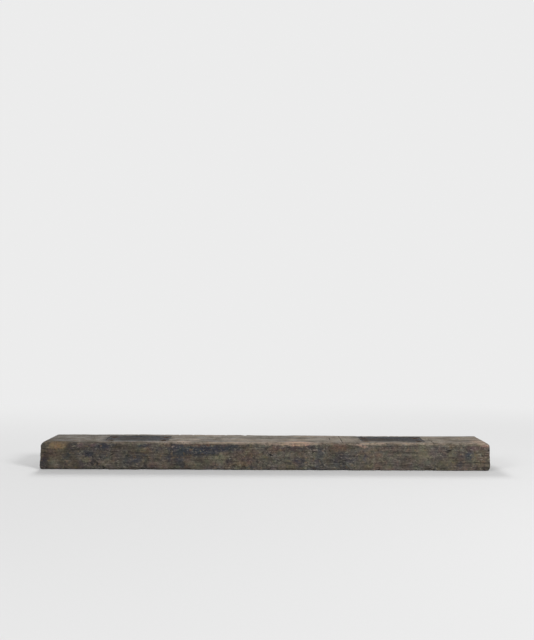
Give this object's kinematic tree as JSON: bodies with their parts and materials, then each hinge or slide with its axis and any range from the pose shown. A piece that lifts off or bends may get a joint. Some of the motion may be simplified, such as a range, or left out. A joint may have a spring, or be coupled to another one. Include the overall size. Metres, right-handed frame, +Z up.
{
  "type": "railway sleeper",
  "caption": "Used timber railway sleeper: a sawn baulk with waney top arrises, drying checks, and rail seats pressed into the top with drained screw holes.",
  "frame": {"origin": "middle of the underside, the face that the sleeper lies on", "axes": "+X along the sleeper, +Y across it to the back, +Z up out of the rail seats"},
  "size_m": [2.5994, 0.26, 0.16],
  "materials": {
    "weathered_timber": "creosoted hardwood, weathered grey-brown, rough"
  },
  "bodies": {
    "root": {"sleeper": "weathered_timber"}
  },
  "joints": []
}
